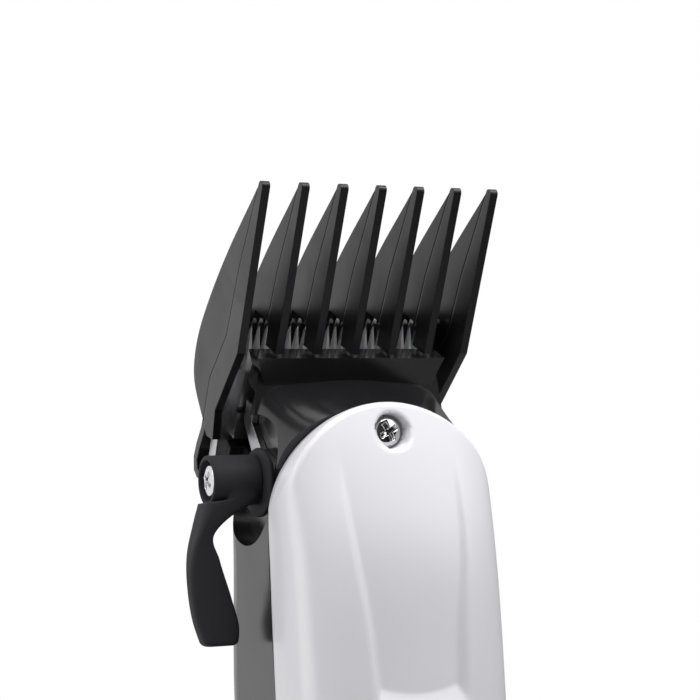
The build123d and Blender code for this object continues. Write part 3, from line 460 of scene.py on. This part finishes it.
# white cover; its rows lie close at the foot, round the low wells and at the recess's foot
coverForm = {
    "height": (0, 30, 60, 88, 114, 128, 142),
    "halfWidth": (16, 19.4, 21.5, 22, 22, 22, 22),
    "front": (-14, -18.6, -21.6, -22.0, -19.8, -15.6, -11.4),
    "depth": (9, 12.5, 15.5, 16, 14, 9.4, 5.4),
    "fullness": 0.76, "wall": 2.0, "edge": 0.9, "footEdge": 1.2,
    "archBase": 116, "archRadius": 22.25,
    "seamY": -4.2, "seamTurn": 112, "rimY": -10.8, "rimZ": 138.2,
    "seamTuck": 0.02, "seamReach": 0.9,
    "seamShare": (1.0, 0.66, 0.33),  # rows of points between the seam and the section's end
    "scoopHeight": (80, 98, 108, 117, 127, 140), "scoopHalf": (9.4, 10.4, 11.4, 12.0, 12.2, 12.2),
    "scoopWall": (1.9, 1.5, 1.15, 0.9, 0.8, 0.8), "scoopDepth": (1.8, 1.6, 1.2, 0.75, 0.1, 0.0),
    "scoopFoot": 79.8, "footBow": 0.022, "footWall": 4.4, "wallStraight": 0.8, "wallSoft": 0.2,
    "wells": ((0, 132.6, 3.35, -10.32), (-12, 14, 3.0, -6.22), (12, 14, 3.0, -6.22)),  # X, Z, radius, floor
    "pullInside": (0.3, 0.1), "pullOutside": (0.32, 0.12),  # beside a well's edge: band, new place
    "lipDepth": 0.3, "lipWidth": 0.9,
    "rows": (np.linspace(0, 1.2, 6), np.linspace(2, 10, 9), np.arange(10.4, 18, 0.4),
             np.arange(19, 79, 1.2), np.arange(79.4, 91, 0.4), np.arange(91.6, 116, 0.8)),
    "archRows": 66, "columns": 129, "curveSteps": 400,
}


def coverSkin():
    # across: the rounded section X = w g(u), Y = front + depth h(u), with g and h cubic in u
    # and fuller than an ellipse;
    # upwards: the section is carried along Z, and its reach shrinks as the arch closes over it
    c = coverForm
    climb = np.sin(np.linspace(0, np.pi / 2, c["archRows"]))
    z = np.concatenate((*c["rows"], c["archBase"] + c["archRadius"] * climb))
    u = np.linspace(0, 1, c["curveSteps"])
    g = 3 * c["fullness"] * u * (1 - u) ** 2 + 3 * u ** 2 * (1 - u) + u ** 3
    h = 3 * (1 - c["fullness"]) * u ** 2 * (1 - u) + u ** 3
    turn = np.linspace(-1, 1, c["columns"])
    across = np.sign(turn) * np.interp(np.abs(turn), u, g)
    zz = np.repeat(z[:, None], turn.size, axis=1)
    keys = ("halfWidth", "front", "depth")
    w, front, depth = (through(c["height"], c[key], z)[:, None] for key in keys)
    foot = soften(c["footEdge"], z)[:, None]
    w, front = w - foot, front + foot
    rise = np.clip(z - c["archBase"], 0, c["archRadius"])[:, None]
    reach = np.minimum(w, np.sqrt(np.maximum(c["archRadius"] ** 2 - rise ** 2, 0)))
    x = reach * across

    # pull the nearest points onto each well's edge
    (inBand, inEdge), (outBand, outEdge) = c["pullInside"], c["pullOutside"]
    tiny = 1e-6  # keeps the division below from zero
    for wx, wz, radius, _ in c["wells"]:
        away = np.hypot(x - wx, zz - wz)
        inner = (away > radius - inBand) & (away < radius)
        outer = (away >= radius) & (away < radius + outBand)
        aim = np.where(inner, radius - inEdge, np.where(outer, radius + outEdge, away))
        near = aim / np.maximum(away, tiny)
        x, zz = wx + (x - wx) * near, wz + (zz - wz) * near
    y = front + depth * np.interp(np.abs(x) / w, g, h)

    # the recess sinks from its side walls and its bowed foot
    high = np.clip(zz, c["scoopHeight"][0], c["scoopHeight"][-1])
    keys = ("scoopHalf", "scoopWall", "scoopDepth")
    half, wall, sink = (through(c["scoopHeight"], c[key], high) for key in keys)
    toSide = (half - np.abs(x)) / wall
    toFoot = (zz - c["scoopFoot"] - c["footBow"] * x ** 2) / c["footWall"]
    inside = np.clip(np.minimum(toSide, toFoot), 0, 1)
    y = y + np.clip(sink, 0, None) * (c["wallStraight"] * inside + c["wallSoft"] * smoothStep(inside))

    # rounded arch, wells with a soft lip, and the seam, an arc that rises to the rim
    arch = c["archRadius"] - np.hypot(x, np.clip(zz - c["archBase"], 0, None))
    y = y + soften(c["edge"], np.clip(arch, 0, None))
    for wx, wz, radius, floor in c["wells"]:
        away = np.hypot(x - wx, zz - wz)
        lip = c["lipDepth"] * (1 - smoothStep((away - radius) / c["lipWidth"]))
        y = np.where(away < radius, floor, y + lip)
    bend = (c["rimZ"] - c["seamTurn"]) ** 2 + (c["rimY"] - c["seamY"]) ** 2
    bend = bend / (2 * (c["seamY"] - c["rimY"]))  # radius of the arc
    along = np.clip(z - c["seamTurn"], 0, bend * c["seamReach"])[:, None]  # stops short of the arc's end
    seam = c["seamY"] - bend + np.sqrt(bend ** 2 - along ** 2)
    y = np.minimum(y, seam - c["seamTuck"])
    share = np.array(c["seamShare"])
    left = gridPoints(x[:, :1], y[:, :1] + (seam - y[:, :1]) * share, zz[:, :1])
    right = gridPoints(x[:, -1:], y[:, -1:] + (seam - y[:, -1:]) * share[::-1], zz[:, -1:])
    skin = np.concatenate((left, gridPoints(x, y, zz), right), axis=1)
    piece = makePiece("coverSkin", [(skin, False)], "housing", "gloss_white", ("top_cover",),
                      caps=[list(range(skin.shape[1]))[::-1]], sheet=True)
    shell = piece.modifiers.new("wall", "SOLIDIFY")
    shell.thickness = c["wall"] * mm
    shell.offset = -1.0


def bladePoint(x, n, t):
    # x across, n back through the blades, t up towards the tooth tips
    _, y, z = bladeOrigin
    return (x, y + n * bladeThrough[1] + t * bladeAlong[1], z + n * bladeThrough[2] + t * bladeAlong[2])


# cross-slot screws: a lathe turned about the screw's axis, with the cross pressed into its head
screwForm = {
    "crown": 0.5, "rim": 0.35, "sideFoot": 0.3, "footShare": 0.98,
    "slotHalf": 0.5, "slotReach": 1.9, "slotDepth": 1.3, "slotWall": 0.14, "slotEnd": 0.25, "slotRise": 0.3,
    "shank": 1.2, "shankTop": -0.02, "point": 0.4, "pointShare": 0.7,
    "headRows": 26, "rimRows": 7, "rimFrom": 0.2, "columns": 96,
}
crossTurn = 0.5  # radians
levelArm, turnedArm = (1, 0, 0), (math.cos(crossTurn), 0, math.sin(crossTurn))
wellSink = 0.02  # the heads' undersides lie this far below the wells' floors
wellScrews = ((turnedArm, 2.1, 4.2), (levelArm, 1.5, 9.9), (turnedArm, 1.5, 9.9))  # arm, head height, length
hubY, hubZ = 6.6, 125.1  # the lever's axis

# middle of the head's underside, axis, one arm of the cross, head radius, head height, length below the head
screwPlaces = {
    "coverScrews": [((x, floor + wellSink, z), (0, -1, 0), arm, 2.7, high, length)
                    for (x, z, _, floor), (arm, high, length) in zip(coverForm["wells"], wellScrews)],
    "leverScrew": [((-28.2, hubY, hubZ), (-1, 0, 0), (0, 0.8, 0.6), 3.1, 1.75, 6.9)],
    "bladeScrews": [(bladePoint(x, 11.4, -24.8), bladeThrough, levelArm, 2.65, 1.5, 6.4) for x in (-9, 9)],
}


def crossScrew(base, axis, side, radius, high, length):
    # P = base + r cos(t) side + r sin(t) across + h axis;
    # h falls with the square of r and by the depth of the cross
    f = screwForm
    base, axis, side = (np.asarray(v, float) for v in (base, axis, side))
    across = np.cross(axis, side)
    flat = radius - f["rim"]
    curl = np.sin(np.linspace(f["rimFrom"], np.pi / 2, f["rimRows"]))
    r = np.concatenate((np.linspace(0, flat, f["headRows"]), flat + f["rim"] * curl))[:, None]
    t = fullTurn(f["columns"])
    a, b = np.abs(r * np.cos(t)), np.abs(r * np.sin(t))
    arm = smoothStep((f["slotHalf"] - np.minimum(a, b)) / f["slotWall"])
    arm = arm * smoothStep((f["slotReach"] - np.maximum(a, b)) / f["slotEnd"])
    h = high - f["crown"] * (r / radius) ** 2 - soften(f["rim"], radius - r)
    h = h - f["slotDepth"] * arm * (1 - f["slotRise"] * r / radius)
    shank = f["shank"]
    tail = np.array((  # radius, then height: under the head, down the shank and to its point
        (radius, f["sideFoot"]), (radius * f["footShare"], 0.0), (shank, f["shankTop"]),
        (shank, f["point"] - length), (shank * f["pointShare"], -length), (0.0, -length)))
    r = np.concatenate((r, tail[:, :1]))
    h = np.concatenate((h, np.repeat(tail[:, 1:], t.size, axis=1)))
    pts = base + (r * np.cos(t))[..., None] * side + (r * np.sin(t))[..., None] * across
    return pts + h[..., None] * axis


def screws():
    for name, body, slotName, node in (("coverScrews", "housing", "bright_steel", "cover_screws"),
                                       ("leverScrew", "taper_lever", "bright_steel", "lever_screw"),
                                       ("bladeScrews", "housing", "spring_steel", "blade_screws")):
        turned = [(crossScrew(*place), True) for place in screwPlaces[name]]
        makePiece(name, turned, body, slotName, (node,))


# taper lever; the arm's heights are counted from the hub's middle, the hub's edges as steps in X and radius
leverForm = {
    "hubRadius": 4.85, "hubOut": -30.0, "hubIn": -20.2,
    "pocket": 3.9, "pocketFloor": -27.6, "pocketSkin": 0.1,
    "pocketEdge": ((0.3, 0), (0.08, 0.06), (0, 0.2)),
    "outerEdge": ((0, -0.35), (0.1, -0.1), (0.35, 0)),
    "innerEdge": ((-0.4, 0), (-0.1, -0.1), (0, -0.4)),
    "outerDrop": (-31.2, -26.5, -20.5, -13.5, -8.6, -1.0),
    "outer": (-31.9, -33.4, -34.2, -33.9, -32.4, -29.9),
    "innerDrop": (-31.2, -28.2, -22.7, -15.0, -10.2, -6.6, -4.2, -1.0),
    "inner": (-25.3, -24.9, -26.1, -28.4, -29.5, -25.6, -21.2, -21.0),
    "halfDrop": (-33, -20, -12, -6, 0), "half": (2.2, 2.1, 2.7, 3.9, 4.85), "square": 5.0, "toe": 1.0,
    "aboveToe": -30, "least": 0.2, "toeRows": 8, "armRows": 74, "armColumns": 72, "hubColumns": 96,
}


def taperLever():
    # arm: a rounded rectangle carried down Z between the outer and inner outlines;
    # hub: a profile turned about X
    f = leverForm
    end, top = f["outerDrop"][0], f["outerDrop"][-1]
    toeDrop = end + np.linspace(0, 1, f["toeRows"]) ** 2 * f["toe"]
    drop = np.concatenate((toeDrop, np.linspace(f["aboveToe"], top, f["armRows"])))
    floor, pocket = f["pocketFloor"], f["pocket"]
    outer = through(f["outerDrop"], f["outer"], drop)
    outer = np.where(drop > -pocket, np.maximum(outer, floor + f["pocketSkin"]), outer)
    inner = through(f["innerDrop"], f["inner"], drop)
    half = through(f["halfDrop"], f["half"], drop)
    toe = soften(f["toe"], drop - end)
    t = fullTurn(f["armColumns"])
    power = 2 / f["square"]
    cx, cy = (np.sign(wave) * np.abs(wave) ** power for wave in (np.cos(t), np.sin(t)))
    wide = np.maximum((inner - outer) / 2 - toe, f["least"])
    deep = np.maximum(half - toe, f["least"])
    arm = gridPoints((inner + outer)[:, None] / 2 + wide[:, None] * cx, hubY + deep[:, None] * cy,
                     (hubZ + drop)[:, None])
    profile = [(floor, 0), (floor, pocket)]  # X, then radius
    for edge, x, radius in (("pocketEdge", f["hubOut"], pocket), ("outerEdge", f["hubOut"], f["hubRadius"]),
                            ("innerEdge", f["hubIn"], f["hubRadius"])):
        profile += [(x + stepX, radius + stepOut) for stepX, stepOut in f[edge]]
    profile = np.array(profile + [(f["hubIn"], 0)])
    x, r, u = profile[:, :1], profile[:, 1:], fullTurn(f["hubColumns"])
    hub = gridPoints(x, hubY + r * np.cos(u), hubZ + r * np.sin(u))
    makePiece("taperLeverForm", [(arm, True), (hub, True)], "taper_lever", "lever_black", ("taper_lever",),
              caps=[list(range(t.size))[::-1]])


# black collar on the hub's inner end, cupped so that it clears the cam behind it
collarForm = {
    "outer": -20.22, "web": -20.12, "inner": -19.45, "hole": 3.9, "cup": 5.25, "edge": 0.3,
    "top": 5.9, "foot": 7.15, "front": 8.4, "back": 6.3,
    "edgeRows": 6, "columns": 120, "sharp": math.radians(40),
}


def leverCollar():
    # a cupped ring turned about the hub's axis, whose reach passes through back, top, front and foot:
    # r(t) = mean + half of (back - front) cos t + half of (top - foot) sin t
    # + a quarter of the pairs' difference times cos 2t
    f = collarForm
    t = fullTurn(f["columns"])
    reach = (f["back"] + f["front"] + f["top"] + f["foot"]) / 4 + (f["back"] - f["front"]) / 2 * np.cos(t)
    reach = reach + (f["top"] - f["foot"]) / 2 * np.sin(t)
    reach = reach + (f["back"] + f["front"] - f["top"] - f["foot"]) / 4 * np.cos(2 * t)
    turn = np.linspace(0, np.pi / 2, f["edgeRows"])
    rounded = f["outer"] + f["edge"] * (1 - np.cos(turn))
    x = np.concatenate(([f["outer"]], rounded, [f["inner"], f["inner"], f["web"], f["web"], f["outer"]]))
    inset = f["edge"] * (1 - np.sin(turn))
    hole, cup = np.full((1, t.size), f["hole"]), np.full((1, t.size), f["cup"])
    r = np.concatenate((hole, reach - inset[:, None], reach[None, :], cup, cup, hole, hole))
    ring = gridPoints(x[:, None], hubY + r * np.cos(t), hubZ + r * np.sin(t))
    makePiece("leverCollar", [(ring, True)], "taper_lever", "lever_black", sharp=f["sharp"])


# moving blade, in the blades' own n and t
cutterForm = {
    "teeth": 24, "pitch": 1.63, "base": 1.36, "tip": 0.12, "taper": 1.1, "root": -4.6, "top": 3.7,
    "foot": -19.0, "front": 6.2, "back": 9.6, "tipThick": 0.8, "bevelFrom": -5.4, "flare": 0.05,
    "groove": (-13.65, -12.35), "grooveDepth": 1.2, "notchHalf": 2.1, "notchTop": -14.4, "step": 0.01,
    "toothSteps": (0, 0.03, 0.1, 0.17, 0.24, 0.31, 0.38, 0.45,
                   0.5, 0.55, 0.62, 0.69, 0.76, 0.83, 0.9, 0.97),
    "bevelRows": 9, "backEvery": 3, "sharp": math.radians(30),
}


def movingBlade():
    # a closed loop of (n, t) for each X: the loop's upper end follows the row of teeth,
    # t = root + (top - root)(1 - q^(1/taper)),
    # with q rising from zero at the tip's half width to one at the base's, from the tooth's middle outwards;
    # the back has fewer rows than the front
    f = cutterForm
    halfTeeth, step, notch = f["teeth"] / 2, f["step"], f["notchHalf"]
    x = (np.arange(f["teeth"])[:, None] + np.array(f["toothSteps"]) - halfTeeth).ravel() * f["pitch"]
    extra = [halfTeeth * f["pitch"], -notch - step, -notch + step, notch - step, notch + step]
    x = np.unique(np.concatenate((x, extra)))
    off = np.abs((x / f["pitch"]) % 1 - 0.5) * f["pitch"]
    q = np.clip((2 * off - f["tip"]) / (f["base"] - f["tip"]), 0, 1)
    top = f["root"] + (f["top"] - f["root"]) * (1 - q ** (1 / f["taper"]))
    foot = np.where(np.abs(x) < notch, f["notchTop"], f["foot"])
    low, high = f["groove"]
    plain = np.array([f["foot"], low - step, low, high, high + step, f["bevelFrom"]])
    sunk = np.array([0, 0, 1, 1, 0, 0]) * f["grooveDepth"]
    rise = np.linspace(0, 1, f["bevelRows"])[1:]
    toTip = f["bevelFrom"] + (top[:, None] - f["bevelFrom"]) * rise
    t = np.concatenate((np.repeat(plain[None, :], x.size, axis=0), toTip), axis=1)
    t = np.maximum(t, foot[:, None])
    bevel = np.clip((t - f["bevelFrom"]) / (f["top"] - f["bevelFrom"]), 0, 1)
    n = f["front"] + (f["back"] - f["tipThick"] - f["front"]) * bevel + np.pad(sunk, (0, rise.size))
    behind = t[:, ::f["backEvery"]]
    n = np.concatenate((n[:, ::-1], np.full_like(behind, f["back"])), axis=1)
    t = np.concatenate((t[:, ::-1], behind), axis=1)
    wide = x[:, None] * (1 + f["flare"] * (f["top"] - t) / (f["top"] - f["foot"]))
    loops = np.stack(bladePoint(wide, n, t), axis=-1)
    size = t.shape[1]
    ends = [list(range(size)), list(range((x.size - 1) * size, x.size * size))]
    makePiece("movingBlade", [(loops, True)], "cutter", "blade_steel", ("moving_blade",), caps=ends,
              finish="cutterSteel", sharp=f["sharp"])


coverSkin()
screws()
taperLever()
leverCollar()
movingBlade()
print("cover, screws, lever, collar and moving blade made")


# pale round floor that keeps the shadow and fades into the paper
floorForm = {
    "radius": 0.4, "corners": 64, "fadeFrom": 0.08, "fadeTo": 0.32,
    "look": {"dark": (0.72, 0.72, 0.72), "light": (0.76, 0.76, 0.76), "rough": (0.6, 0.7), "bump": 0.02,
             "skin": {"grain": 300.0, "cloud": 3.0}},
}


def layFloor():
    f = floorForm
    t = fullTurn(f["corners"])
    rim = gridPoints(np.cos(t), np.sin(t), 0) * f["radius"]
    mesh = bpy.data.meshes.new("paleFloor")
    mesh.from_pydata(rim.tolist(), [], [list(range(t.size))])
    floor = bpy.data.objects.new("paleFloor", mesh)
    scene.collection.objects.link(floor)
    mat = finishMaterial("paleFloor", f["look"])
    tree = mat.node_tree
    far = addNode(tree, "ShaderNodeVectorMath", {0: objectPlace(tree)}, operation="LENGTH").outputs["Value"]
    fade = addNode(tree, "ShaderNodeMapRange", {
        "Value": far, "From Min": f["fadeFrom"], "From Max": f["fadeTo"], "To Min": 1.0, "To Max": 0.0},
        interpolation_type="SMOOTHSTEP")
    feed(tree, tree.nodes["Principled BSDF"], {"Alpha": fade.outputs["Result"]})
    mesh.materials.append(mat)


layFloor()
print("floor laid")
